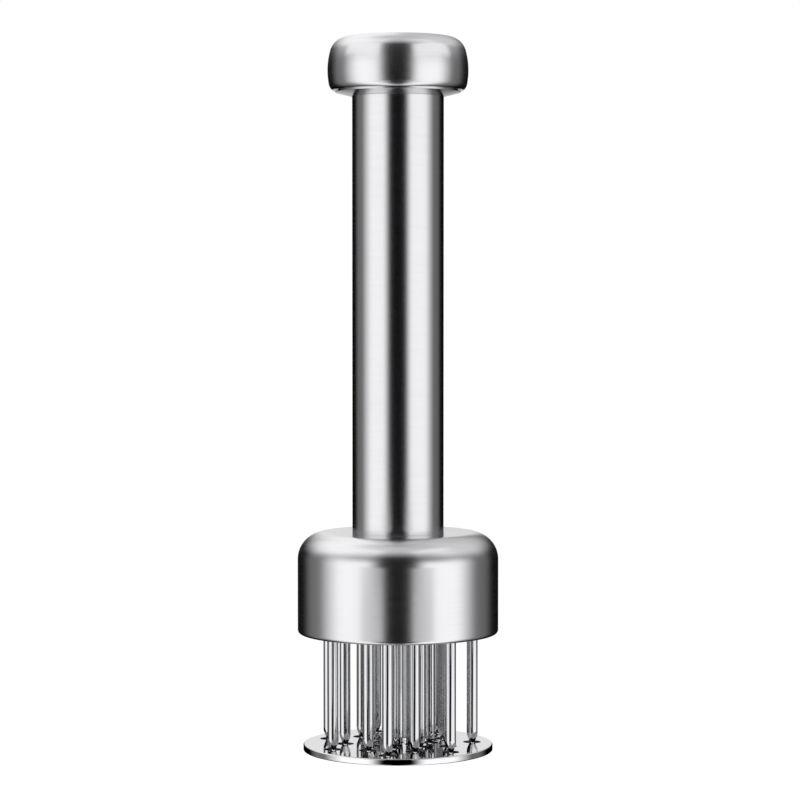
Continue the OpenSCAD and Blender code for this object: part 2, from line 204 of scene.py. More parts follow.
@dataclass(frozen=True)
class Finish:
    """A surface finish, and the material that shows it.

    Attributes:
        name: Name of the material.
        colour: Its colour as an sRGB hex value.
        worn_colour: The colour that it takes in patches.
        roughness: Roughness of the surface.
        spread: How far the roughness strays over the surface.
        metallic: One for a metal, and zero for anything else.
        grain: Which way its fine lines run.
        line_pitch: Distance between the fine lines.
        line_length: Length of a line.
        line_depth: Depth of the lines.
        wave_length: Length of the gentle waves of the sheet.
        wave_depth: Depth of those waves.
    """

    name: str
    colour: str
    worn_colour: str
    roughness: float
    spread: float = 0.03
    metallic: float = 1.0
    grain: Grain = Grain.ROUND
    line_pitch: float = 0.35 * MM
    line_length: float = 12 * MM
    line_depth: float = 0.001 * MM
    wave_length: float = 14 * MM
    wave_depth: float = 0.0

    def noise(
        self, tree: bpy.types.NodeTree, source: bpy.types.NodeSocket, size: tuple[float, float, float]
    ) -> bpy.types.NodeSocket:
        """Adds a noise pattern.

        Args:
            tree: The material's node tree.
            source: The coordinates that it lies on.
            size: Length of its spots along the coordinates.

        Returns:
            The socket that gives the pattern, from 0 to 1.
        """
        scale = tuple(1 / length for length in size)
        laid = add_node(tree, "ShaderNodeVectorMath", {0: source, 1: scale}, operation="MULTIPLY")
        spots = {"Vector": laid.outputs[0], "Scale": 1.0, "Detail": 1.0, "Roughness": 0.5}
        return add_node(tree, "ShaderNodeTexNoise", spots).outputs["Fac"]

    def lines(self, tree: bpy.types.NodeTree) -> bpy.types.NodeSocket:
        """Adds the pattern of fine lines.

        Args:
            tree: The material's node tree.

        Returns:
            The socket that gives the pattern, from 0 to 1.
        """
        place = add_node(tree, "ShaderNodeTexCoord").outputs["Object"]
        if self.grain is Grain.ALONG:
            return self.noise(tree, place, (self.line_pitch, self.line_pitch, self.line_length))
        if self.grain is Grain.NONE:
            return self.noise(tree, place, (self.line_pitch,) * 3)
        # Height less distance from the axis changes all the way over a turned piece, so lines at
        # equal values of it run round the piece on its wall, on its shoulder and on its top.
        flat = add_node(tree, "ShaderNodeVectorMath", {0: place, 1: (1, 1, 0)}, operation="MULTIPLY")
        reach = add_node(tree, "ShaderNodeVectorMath", {0: flat.outputs[0]}, operation="LENGTH")
        apart = add_node(tree, "ShaderNodeSeparateXYZ", {0: place})
        along = compute(tree, "SUBTRACT", apart.outputs["Z"], reach.outputs["Value"])
        parts = {0: apart.outputs["X"], 1: apart.outputs["Y"], 2: along}
        rolled = add_node(tree, "ShaderNodeCombineXYZ", parts).outputs[0]
        return self.noise(tree, rolled, (self.line_length, self.line_length, self.line_pitch))

    def material(self) -> bpy.types.Material:
        """Builds the material.

        Returns:
            The material.
        """
        made = empty_material(self.name)
        tree = made.node_tree
        lines = self.lines(tree)
        place = add_node(tree, "ShaderNodeTexCoord").outputs["Object"]
        waves = self.noise(tree, place, (self.wave_length,) * 3)
        worn = compute(tree, "MULTIPLY", lines, waves)
        tone = add_node(tree, "ShaderNodeMix", {0: worn}, data_type="RGBA")
        # A Mix node holds sockets for every kind of data, so those for colours are picked by their kind
        colours = [socket for socket in tone.inputs if socket.type == "RGBA"]
        for socket, colour in zip(colours, (self.colour, self.worn_colour)):
            socket.default_value = linear(colour)
        tinted = next(socket for socket in tone.outputs if socket.type == "RGBA")
        smoothest = max(self.roughness - self.spread, LEAST_ROUGHNESS)
        rough = ramp(tree, lines, *NOISE_BAND, smoothest, self.roughness + self.spread)
        relief = {"Height": lines, "Distance": self.line_depth}
        normal = add_node(tree, "ShaderNodeBump", relief).outputs["Normal"]
        if self.wave_depth:
            relief = {"Height": waves, "Distance": self.wave_depth, "Normal": normal}
            normal = add_node(tree, "ShaderNodeBump", relief).outputs["Normal"]
        skin = {"Base Color": tinted, "Metallic": self.metallic, "Roughness": rough, "Normal": normal}
        shader = add_node(tree, "ShaderNodeBsdfPrincipled", skin)
        add_node(tree, "ShaderNodeOutputMaterial", {"Surface": shader.outputs[0]})
        return made


# Stainless sheet, ground with a fine belt round the axis and left satin: it blurs what it reflects
SATIN_BELL = Finish(
    "satin stainless steel, bell", "#DDDDDF", "#D5D5D8", roughness=0.23, spread=0.015, line_depth=0.0009 * MM
)
SATIN_TUBE = Finish(
    "satin stainless steel, tube", "#D8D8DA", "#D0D0D3", roughness=0.20, spread=0.015, line_depth=0.0008 * MM
)
SATIN_CAP = Finish(
    "satin stainless steel, cap", "#DDDDDF", "#D5D5D8", roughness=0.24, spread=0.01, line_depth=0.0003 * MM
)
# Stainless disc, buffed to a mirror: it keeps the small waves that the blanking press left in it
MIRROR = Finish(
    "mirror polished stainless steel",
    "#E2E2E4",
    "#DADADD",
    roughness=0.06,
    spread=0.02,
    line_depth=0.0002 * MM,
    wave_length=9 * MM,
    wave_depth=0.03 * MM,
)
# Stainless steel as the punch tears it: a rough wall, coloured dark as painted shade inside the holes, which
# makes each hole in the disc stand out
PUNCHED_PAINTED_SHADE = Finish(
    "punched stainless steel, painted shade",
    "#55565A",
    "#3E3F42",
    roughness=0.45,
    spread=0.08,
    grain=Grain.ALONG,
    line_pitch=0.2 * MM,
    line_length=1.5 * MM,
    line_depth=0.01 * MM,
)
# Cold drawn stainless wire, tumbled bright: the die's lines run along it
BRIGHT_DRAWN = Finish(
    "bright drawn stainless steel",
    "#D6D6D8",
    "#CCCCCF",
    roughness=0.08,
    spread=0.02,
    grain=Grain.ALONG,
    line_pitch=0.3 * MM,
    line_length=8 * MM,
    line_depth=0.0002 * MM,
)
# Turned stainless plate and bar: the tool leaves close rings that scatter the light
TURNED = Finish(
    "turned stainless steel", "#BFC0C2", "#B0B1B4", roughness=0.34, spread=0.06, line_depth=0.002 * MM
)
# Stainless screws and clips, left as they were rolled
ROLLED = Finish(
    "rolled stainless fastener", "#B4B5B8", "#A3A4A7", roughness=0.38, spread=0.05, line_depth=0.001 * MM
)
# Hard drawn spring wire: darker, with the die's lines along it
SPRING_WIRE = Finish(
    "spring wire", "#9A9CA0", "#85878B", roughness=0.30, spread=0.05, line_depth=0.001 * MM
)
# Sintered bronze: matt, with open pores
BRONZE = Finish(
    "sintered bronze",
    "#B38B5A",
    "#8F6C43",
    roughness=0.5,
    spread=0.1,
    grain=Grain.NONE,
    line_pitch=0.25 * MM,
    line_depth=0.01 * MM,
)
# Moulded natural nylon: creamy, with a dull skin
NYLON = Finish(
    "moulded nylon",
    "#E9E6DC",
    "#DED9CB",
    roughness=0.5,
    metallic=0.0,
    grain=Grain.NONE,
    line_pitch=0.6 * MM,
    line_depth=0.004 * MM,
)
SLOT_FINISHES = {
    "brushed_steel": SATIN_TUBE,
    "polished_steel": MIRROR,
    "pin_steel": BRIGHT_DRAWN,
    "turned_steel": TURNED,
    "fastener_steel": ROLLED,
    "spring_steel": SPRING_WIRE,
    "bronze": BRONZE,
    "nylon": NYLON,
}


class Wardrobe:
    """Builds each finish's material once, and puts it on pieces."""

    def __init__(self) -> None:
        """Starts with no material."""
        self.made: dict[str, bpy.types.Material] = {}

    def material(self, finish: Finish) -> bpy.types.Material:
        """Gives a finish's material, built when it is first asked for.

        Args:
            finish: The finish.

        Returns:
            Its material.
        """
        if finish.name not in self.made:
            self.made[finish.name] = finish.material()
        return self.made[finish.name]

    def dress(self, piece: bpy.types.Object, finish: Finish) -> None:
        """Gives a piece one finish all over.

        Args:
            piece: The piece.
            finish: Its finish.
        """
        piece.data.materials.clear()
        piece.data.materials.append(self.material(finish))

    def dress_faces(self, piece: bpy.types.Object, finish: Finish, faces: list[int]) -> None:
        """Gives some of a dressed piece's faces a finish of their own.

        Args:
            piece: The piece.
            finish: The finish.
            faces: Numbers of the faces.
        """
        piece.data.materials.append(self.material(finish))
        for number in faces:
            piece.data.polygons[number].material_index = len(piece.data.materials) - 1


def deselect_all() -> None:
    """Leaves nothing selected."""
    bpy.ops.object.select_all(action="DESELECT")


def select_only(piece: bpy.types.Object) -> None:
    """Selects one piece and makes it the active one.

    Args:
        piece: The piece.
    """
    deselect_all()
    piece.select_set(True)
    bpy.context.view_layer.objects.active = piece


def finish_mesh(piece: bpy.types.Object) -> None:
    """Shades a piece as metal sheet is seen: smooth faces up to its edges, with even normals.

    Args:
        piece: The piece, in object mode.
    """
    select_only(piece)
    bpy.ops.object.transform_apply(location=True, rotation=True, scale=True)
    bpy.ops.object.shade_smooth_by_angle(angle=SMOOTH_ANGLE)
    even = piece.modifiers.new("even shading", "WEIGHTED_NORMAL")
    even.keep_sharp = True
    even.weight = AREA_WEIGHT
    bpy.ops.object.modifier_apply(modifier=even.name)


class Section:
    """Half section of a turned piece, drawn point by point in the XZ plane and then spun."""

    def __init__(self, name: str, x: float, z: float) -> None:
        """Starts the section at a point.

        Args:
            name: Name of the piece.
            x: Distance of the point from the axis.
            z: Height of the point.
        """
        deselect_all()
        bpy.ops.mesh.primitive_plane_add(size=MM, location=(x, 0, z))
        self.piece = bpy.context.object
        self.piece.name = name
        self.x, self.z = x, z
        bpy.ops.object.mode_set(mode="EDIT")
        bpy.ops.mesh.merge(type="CENTER")

    def line(self, x: float, z: float) -> Section:
        """Draws a straight line to a point.

        Args:
            x: Distance of the point from the axis.
            z: Height of the point.

        Returns:
            The section, so that calls can follow one another.
        """
        bpy.ops.mesh.extrude_region_move(TRANSFORM_OT_translate={"value": (x - self.x, 0, z - self.z)})
        self.x, self.z = x, z
        return self

    def arc(self, centre_x: float, centre_z: float, degrees: float, steps: int) -> Section:
        """Draws an arc from where the line ends.

        Args:
            centre_x: Distance of the arc's centre from the axis.
            centre_z: Height of the arc's centre.
            degrees: Length of the arc, positive from +X towards +Z.
            steps: Number of straight lines that it is made of.

        Returns:
            The section, so that calls can follow one another.
        """
        bpy.ops.mesh.spin(
            steps=steps, angle=math.radians(degrees), center=(centre_x, 0, centre_z), axis=(0, 1, 0)
        )
        spoke = Vector((self.x - centre_x, self.z - centre_z))
        turn = Matrix.Rotation(math.radians(degrees), 2)
        self.x, self.z = Vector((centre_x, centre_z)) + turn @ spoke
        return self

    def spin(self, steps: int = ROUND_STEPS) -> bpy.types.Object:
        """Turns the section once round the axis.

        Args:
            steps: Number of faces round the piece.

        Returns:
            The piece, a closed mesh in object mode.
        """
        bpy.ops.mesh.select_all(action="SELECT")
        bpy.ops.mesh.spin(steps=steps, angle=2 * math.pi, center=(0, 0, 0), axis=(0, 0, 1))
        bpy.ops.mesh.select_all(action="SELECT")
        bpy.ops.mesh.remove_doubles(threshold=WELD)
        bpy.ops.mesh.normals_make_consistent(inside=False)
        bpy.ops.object.mode_set(mode="OBJECT")
        return self.piece


@dataclass(frozen=True)
class Softbox:
    """A light that the metal reflects as an upright band.

    Azimuths are in degrees round the tool: 0 is towards the camera, positive to its right, and 180 is
    behind the tool. Elevations are in degrees above the horizon.

    Attributes:
        left: Azimuth of its left edge.
        right: Azimuth of its right edge.
        power: Its brightness.
        left_blur: Half width of the left edge's fading.
        right_blur: Half width of the right edge's fading.
        foot: Elevations between which it begins.
        fade: Elevations between which it fades.
        faded: Its share of brightness beyond them.
    """

    left: float
    right: float
    power: float
    left_blur: float = 10.0
    right_blur: float = 10.0
    foot: tuple[float, float] = (-92.0, -91.0)
    fade: tuple[float, float] = (20.0, 45.0)
    faded: float = 0.0

    def glow(
        self, tree: bpy.types.NodeTree, azimuth: bpy.types.NodeSocket, height: bpy.types.NodeSocket
    ) -> bpy.types.NodeSocket:
        """Adds the nodes that give its brightness in a direction.

        Args:
            tree: The world's node tree.
            azimuth: The direction's azimuth in degrees.
            height: The direction's elevation in degrees.

        Returns:
            The socket that gives the brightness.
        """
        rise = ramp(tree, azimuth, self.left - self.left_blur, self.left + self.left_blur)
        fall = ramp(tree, azimuth, self.right + self.right_blur, self.right - self.right_blur)
        foot = ramp(tree, height, *self.foot)
        top = ramp(tree, height, *self.fade, self.power, self.power * self.faded)
        wide = compute(tree, "MULTIPLY", rise, fall)
        return compute(tree, "MULTIPLY", wide, compute(tree, "MULTIPLY", foot, top))


@dataclass(frozen=True)
class Card:
    """A lit upright card near the tool, which only the metal at its own height reflects.

    Attributes:
        name: Name of the card.
        azimuth: Azimuth of its middle.
        width: How many degrees it takes up, seen from the tool.
        low: Height of its foot.
        high: Height of its top.
        power: Its brightness.
        distance: How far it stands from the axis.
    """

    name: str
    azimuth: float
    width: float
    low: float
    high: float
    power: float
    distance: float = 250 * MM

    def build(self) -> None:
        """Stands the card up, unseen by the camera and without a shadow."""
        turn = math.radians(self.azimuth)
        side = 2 * self.distance * math.tan(math.radians(self.width / 2))
        place = (self.distance * math.sin(turn), -self.distance * math.cos(turn), (self.low + self.high) / 2)
        deselect_all()
        bpy.ops.mesh.primitive_plane_add(size=1, location=place, rotation=(math.pi / 2, 0, turn))
        card = bpy.context.object
        card.name = self.name
        bpy.ops.transform.resize(value=(side, self.high - self.low, 1), orient_type="LOCAL")
        for rays in ("camera", "diffuse", "shadow", "transmission"):
            setattr(card, f"visible_{rays}", False)
        made = empty_material("lit card")
        tree = made.node_tree
        glow = add_node(tree, "ShaderNodeEmission", {"Strength": self.power})
        add_node(tree, "ShaderNodeOutputMaterial", {"Surface": glow.outputs[0]})
        card.data.materials.append(made)


@dataclass
class Studio:
    """White studio, with the lights that the metal shows and the camera of the photograph.

    Attributes:
        lens: Focal length of the camera in millimetres, as Blender takes it.
        place: Place of the camera.
        tilt: How far the camera leans, in degrees from looking straight down.
        boxes: The lights beside and behind the tool.
        top_fade: Elevations between which they all end, so that no band runs to a point overhead.
        cards: The cards round the tool.
        ceiling_tilt: How far the ceiling's middle lies behind the zenith, in degrees.
        ceiling_edge: Angles from that middle at which the ceiling is dark and at which it is full.
        ceiling_foot: Elevations between which the ceiling's light begins.
        ceiling_sides: X of the directions where its left and its right brightness are reached.
        ceiling_power: Brightness of the ceiling on its left and on its right.
        floor_size: Side of the floor.
        floor_drop: How far the floor lies under the disc.
        floor_glow: Share of the floor's white that doesn't take a shadow.
        floor_power: Brightness of that share.
        paper: Colour of the floor.
    """

    lens: float = 122.886
    place: tuple[float, float, float] = (0.55 * MM, -746.4 * MM, 127.7 * MM)
    tilt: float = 87.58
    boxes: tuple[Softbox, ...] = (
        # The two large lights beside the camera, and the dim end of each
        Softbox(-86, -28, 1.32, left_blur=18, right_blur=11, fade=(8, 36), faded=0.35),
        Softbox(25.5, 86, 1.32, right_blur=17, fade=(6, 32), faded=0.25),
        Softbox(-126, -85, 0.2, left_blur=12, right_blur=6),
        Softbox(88, 126, 0.17, left_blur=6, right_blur=12),
        # Behind the tool: its outer edges, the bell's crown and the top of the disc reflect these
        Softbox(-200, -172, 0.6, right_blur=5, foot=(-40, -10), fade=(8, 26)),
        Softbox(172, 200, 0.4, left_blur=5, foot=(-40, -10), fade=(8, 26)),
        Softbox(-200, -164, 0.5, right_blur=7, foot=(8, 17), fade=(28, 38)),
        Softbox(-200, -174, 0.24, right_blur=3, foot=(-12, -6), fade=(10, 20)),
        Softbox(174, 200, 0.48, left_blur=3, foot=(-12, -6), fade=(11, 18)),
        # High up on both sides: the bell's shoulder and the cap's upper edge reflect these
        Softbox(-200, -84, 0.48, right_blur=20, foot=(20, 44), fade=(60, 84)),
        Softbox(60, 150, 0.22, left_blur=22, right_blur=25, foot=(20, 44), fade=(60, 84)),
    )
    top_fade: tuple[float, float] = (84.0, 56.0)
    cards: tuple[Card, ...] = (
        Card("card_low_left", -28.0, 25.0, -22 * MM, 36 * MM, 0.8),
        Card("card_low_right", 27.0, 24.0, -22 * MM, 36 * MM, 0.76),
        Card("card_high_left", -62.0, 66.0, 229 * MM, 312 * MM, 1.2, distance=120 * MM),
        Card("card_high_right", 59.0, 68.0, 225 * MM, 296 * MM, 1.15, distance=120 * MM),
    )
    ceiling_tilt: float = 32.0
    ceiling_edge: tuple[float, float] = (85.0, 50.0)
    ceiling_foot: tuple[float, float] = (8.0, 34.0)
    ceiling_sides: tuple[float, float] = (-0.6, 0.6)
    ceiling_power: tuple[float, float] = (0.78, 0.6)
    floor_size: float = 6000 * MM
    floor_drop: float = 0.02 * MM
    floor_glow: float = 0.93
    floor_power: float = 1.05
    paper: str = "#F4F4F4"

    def light(self) -> None:
        """Builds the world: white to the camera, and the studio's lights to the metal."""
        world = bpy.data.worlds.new("studio")
        bpy.context.scene.world = world
        world.use_nodes = True
        tree = world.node_tree
        tree.nodes.clear()
        way = add_node(tree, "ShaderNodeTexCoord").outputs["Generated"]
        apart = add_node(tree, "ShaderNodeSeparateXYZ", {0: way})
        towards = compute(tree, "MULTIPLY", apart.outputs["Y"], -1.0)
        azimuth = compute(tree, "DEGREES", compute(tree, "ARCTAN2", apart.outputs["X"], towards))
        height = compute(tree, "DEGREES", compute(tree, "ARCSINE", apart.outputs["Z"]))
        seen = self.ceiling(tree, way, apart.outputs["X"])
        seen = compute(tree, "MULTIPLY", seen, ramp(tree, height, *self.ceiling_foot))
        beside, *others = [box.glow(tree, azimuth, height) for box in self.boxes]
        for glow in others:
            beside = compute(tree, "ADD", beside, glow)
        beside = compute(tree, "MULTIPLY", beside, ramp(tree, height, *self.top_fade))
        seen = compute(tree, "ADD", seen, beside)
        white = {"Color": linear("#FFFFFF")}
        studio = add_node(tree, "ShaderNodeBackground", white | {"Strength": seen})
        plain = add_node(tree, "ShaderNodeBackground", white)
        path = add_node(tree, "ShaderNodeLightPath")
        mixed = add_node(
            tree,
            "ShaderNodeMixShader",
            {0: path.outputs["Is Camera Ray"], 1: studio.outputs[0], 2: plain.outputs[0]},
        )
        add_node(tree, "ShaderNodeOutputWorld", {"Surface": mixed.outputs[0]})

    def ceiling(
        self, tree: bpy.types.NodeTree, way: bpy.types.NodeSocket, across: bpy.types.NodeSocket
    ) -> bpy.types.NodeSocket:
        """Adds the nodes of the ceiling's brightness, which fades from its middle.

        Args:
            tree: The world's node tree.
            way: The direction.
            across: The direction's X.

        Returns:
            The socket that gives the brightness.
        """
        tilt = math.radians(self.ceiling_tilt)
        middle = (0.0, math.sin(tilt), math.cos(tilt))
        near = add_node(tree, "ShaderNodeVectorMath", {0: way, 1: middle}, operation="DOT_PRODUCT")
        angle = compute(tree, "DEGREES", compute(tree, "ARCCOSINE", near.outputs["Value"]))
        side = ramp(tree, across, *self.ceiling_sides, *self.ceiling_power)
        return compute(tree, "MULTIPLY", ramp(tree, angle, *self.ceiling_edge), side)

    def floor(self) -> None:
        """Lays the pale floor, which glows white to the camera and keeps a soft shadow."""
        deselect_all()
        bpy.ops.mesh.primitive_plane_add(size=self.floor_size, location=(0, 0, -self.floor_drop))
        floor = bpy.context.object
        floor.name = "floor"
        floor.visible_glossy = False
        made = empty_material("white paper sweep")
        tree = made.node_tree
        paper = add_node(tree, "ShaderNodeBsdfDiffuse", {"Color": linear(self.paper)})
        glow = add_node(tree, "ShaderNodeEmission", {"Strength": self.floor_power})
        path = add_node(tree, "ShaderNodeLightPath")
        share = compute(tree, "MULTIPLY", path.outputs["Is Camera Ray"], self.floor_glow)
        mixed = add_node(tree, "ShaderNodeMixShader", {0: share, 1: paper.outputs[0], 2: glow.outputs[0]})
        add_node(tree, "ShaderNodeOutputMaterial", {"Surface": mixed.outputs[0]})
        floor.data.materials.append(made)

    def camera(self) -> None:
        """Sets up the camera at the photograph's angle."""
        lens = bpy.data.cameras.new("camera")
        lens.lens = self.lens
        camera = bpy.data.objects.new("camera", lens)
        bpy.context.scene.collection.objects.link(camera)
        camera.location = self.place
        camera.rotation_euler = (math.radians(self.tilt), 0, 0)
        bpy.context.scene.camera = camera

    def build(self) -> None:
        """Sets up light, floor and camera."""
        bpy.context.scene.view_settings.view_transform = "Standard"
        self.light()
        for card in self.cards:
            card.build()
        self.floor()
        self.camera()


@dataclass
class Piece:
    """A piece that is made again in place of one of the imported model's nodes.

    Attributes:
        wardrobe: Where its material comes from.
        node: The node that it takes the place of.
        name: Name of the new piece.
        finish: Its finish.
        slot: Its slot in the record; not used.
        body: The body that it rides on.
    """

    wardrobe: Wardrobe
    node: str
    name: str
    finish: Finish
    slot: str
    body: str = HANDLE_BODY

    @property
    def low(self) -> float:
        """Height of the node's foot."""
        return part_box(self.node)[0].z

    @property
    def high(self) -> float:
        """Height of the node's top."""
        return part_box(self.node)[1].z

    @property
    def radius(self) -> float:
        """Radius of the node, if it stands on the axis."""
        low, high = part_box(self.node)
        return max(-low.x, -low.y, high.x, high.y)

    def shape(self) -> bpy.types.Object:
        """Models the piece.

        Returns:
            The modelled piece, undressed.
        """
        raise NotImplementedError

    def dress(self, made: bpy.types.Object) -> None:
        """Gives the modelled piece its finish."""
        self.wardrobe.dress(made, self.finish)

    def build(self) -> bpy.types.Object:
        """Models the piece, dresses it and lets it take the node's place.

        Returns:
            The finished piece.
        """
        made = self.shape()
        finish_mesh(made)
        self.dress(made)
        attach(made, self.body)
        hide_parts(self.node)
        size = [round(side / MM, 2) for side in made.dimensions]
        LOG.info("%s: %d faces, %s mm", made.name, len(made.data.polygons), size)
        return made


@dataclass
class HandleTube(Piece):
    """The tube that the hand holds.

    Attributes:
        wall: Thickness of its wall.
        edge: Radius of its outer end edges.
        edge_steps: Number of lines in the arc of an edge.
    """

    wall: float = 1.0 * MM
    edge: float = 0.03 * MM
    edge_steps: int = 4

    def shape(self) -> bpy.types.Object:
        """Turns the tube, with rounded end edges.

        Returns:
            The modelled piece, undressed.
        """
        edge, rim = self.edge, self.radius - self.edge
        section = Section(self.name, self.radius - self.wall, self.low)
        section.line(rim, self.low).arc(rim, self.low + edge, 90, self.edge_steps)
        section.line(self.radius, self.high - edge).arc(rim, self.high - edge, 90, self.edge_steps)
        section.line(self.radius - self.wall, self.high).line(self.radius - self.wall, self.low)
        return section.spin()


@dataclass
class Housing(Piece):
    """The drawn bell, open below.

    Attributes:
        wall: Thickness of its wall.
        shoulder: Radius of its rounded shoulder.
        rim: Radius of the outer edge of its mouth.
        hole: Radius of the hole in its crown.
        shoulder_steps: Number of lines in the arc of the shoulder.
        rim_steps: Number of lines in the arc of the rim.
    """

    wall: float = 1.2 * MM
    shoulder: float = 7.4 * MM
    rim: float = 1.1 * MM
    hole: float = 9.02 * MM
    shoulder_steps: int = 40
    rim_steps: int = 12

    def shape(self) -> bpy.types.Object:
        """Turns the bell: out along its crown, down its wall, and back inside.

        Returns:
            The modelled piece, undressed.
        """
        out, wall = self.radius, self.wall
        turn_x, turn_z = out - self.shoulder, self.high - self.shoulder
        section = Section(self.name, self.hole, self.high - wall)
        section.line(self.hole, self.high).line(turn_x, self.high)
        section.arc(turn_x, turn_z, -90, self.shoulder_steps)
        section.line(out, self.low + self.rim)
        section.arc(out - self.rim, self.low + self.rim, -90, self.rim_steps)
        section.line(out - wall, self.low).line(out - wall, turn_z)
        section.arc(turn_x, turn_z, 90, self.shoulder_steps)
        section.line(self.hole, self.high - wall)
        return section.spin()


@dataclass
class CapOutline:
    """The cap's outline: three arcs, each tangent to the next.

    Attributes:
        foot_z: Height of the cap's underside.
        top_z: Height of its top.
        radius: Its largest radius.
        belly_h: Height of its widest place above the underside.
        side: Radius of the barrelled side.
        top: Radius of the upper edge.
        foot: Radius of the lower edge.
        rise: How far the dished base rises to its rim.
    """

    foot_z: float
    top_z: float
    radius: float
    belly_h: float = 7.1 * MM
    side: float = 20 * MM
    top: float = 5 * MM
    foot: float = 2.6 * MM
    rise: float = 1.2 * MM

    def centre(self, edge: float) -> Vector:
        """Centre of an edge's arc.

        Args:
            edge: Radius of that edge, the foot's or the top's.

        Returns:
            Its distance from the axis and its height.
        """
        z = self.foot_z + self.rise + edge if edge == self.foot else self.top_z - edge
        up = z - self.belly.y
        return Vector((self.belly.x + math.sqrt((self.side - edge) ** 2 - up**2), z))

    @property
    def belly(self) -> Vector:
        """Centre of the side's arc."""
        return Vector((self.radius - self.side, self.foot_z + self.belly_h))

    def lean(self, edge: float) -> float:
        """Direction in which an edge's arc meets the side's.

        Args:
            edge: Radius of that edge.

        Returns:
            The direction in degrees, from +X towards +Z.
        """
        way = self.centre(edge) - self.belly
        return math.degrees(math.atan2(way.y, way.x))


@dataclass
class CapShell(Piece):
    """The drawn shell of the palm cap.

    Attributes:
        wall: Thickness of its wall.
        foot_z: Height of the cap's underside.
        edge_steps: Number of lines in the arc of an edge. The upper edge has twice as many outside.
        side_steps: Number of lines in the arc of its side.
    """

    wall: float = 1.2 * MM
    foot_z: float = 0.0
    edge_steps: int = 24
    side_steps: int = 24

    def shape(self) -> bpy.types.Object:
        """Turns the shell: down its inside to the rolled foot, then up its outside.

        Returns:
            The modelled piece, undressed.
        """
        line = CapOutline(self.foot_z, self.high, self.radius)
        foot, top, belly = line.centre(line.foot), line.centre(line.top), line.belly
        foot_lean, top_lean = line.lean(line.foot), line.lean(line.top)
        cut = math.degrees(math.asin((self.low - foot.y) / line.foot))
        cut_x = foot.x + line.foot * math.cos(math.radians(cut))
        section = Section(self.name, 0, self.high - self.wall)
        section.line(top.x, self.high - self.wall)
        section.arc(top.x, top.y, top_lean - 90, self.edge_steps)
        section.arc(belly.x, belly.y, foot_lean - top_lean, self.side_steps)
        section.arc(foot.x, foot.y, -90 - foot_lean, self.edge_steps)
        section.line(foot.x, self.low).line(cut_x, self.low)
        section.arc(foot.x, foot.y, foot_lean - cut, self.edge_steps)
        section.arc(belly.x, belly.y, top_lean - foot_lean, self.side_steps)
        section.arc(top.x, top.y, 90 - top_lean, 2 * self.edge_steps)
        section.line(0, self.high)
        return section.spin()


@dataclass
class CapBase(Piece):
    """The cap's dished lower closure, with its boss and register.

    Attributes:
        flat: Radius of the flat middle of its underside, where the tube stands.
        rise: How far the underside rises to the rim.
        rim: Height of the rim.
        register: Radius of the register that the shell grips.
        register_top: Height of the register above the underside.
        boss: Radius of the boss.
        bore: Radius of the stud's hole.
        edge: Radius of the rim's edges.
        edge_steps: Number of lines in the arc of an edge.
    """

    flat: float = 12.5 * MM
    rise: float = 1.2 * MM
    rim: float = 0.15 * MM
    register: float = 16.26 * MM
    register_top: float = 3.1 * MM
    boss: float = 7.5 * MM
    bore: float = 4.02 * MM
    edge: float = 0.06 * MM
    edge_steps: int = 4

    def shape(self) -> bpy.types.Object:
        """Turns the base: out along its underside, up its rim, and over the register and boss.

        Returns:
            The modelled piece, undressed.
        """
        out, edge = self.radius, self.edge
        rim_foot, rim_top = self.low + self.rise, self.low + self.rise + self.rim
        slope = math.degrees(math.atan2(self.rise, out - self.flat))
        shift = edge * math.tan(math.radians((90 - slope) / 2))
        along = Vector((math.cos(math.radians(slope)), math.sin(math.radians(slope))))
        start = Vector((out, rim_foot)) - along * shift
        section = Section(self.name, self.bore, self.low)
        section.line(self.flat, self.low).line(*start)
        section.arc(out - edge, rim_foot + shift, 90 - slope, self.edge_steps)
        section.line(out, rim_top - edge).arc(out - edge, rim_top - edge, 90, self.edge_steps)
        section.line(self.register, rim_top).line(self.register, self.low + self.register_top)
        section.line(self.boss, self.low + self.register_top).line(self.boss, self.high)
        section.line(self.bore, self.high).line(self.bore, self.low)
        return section.spin()


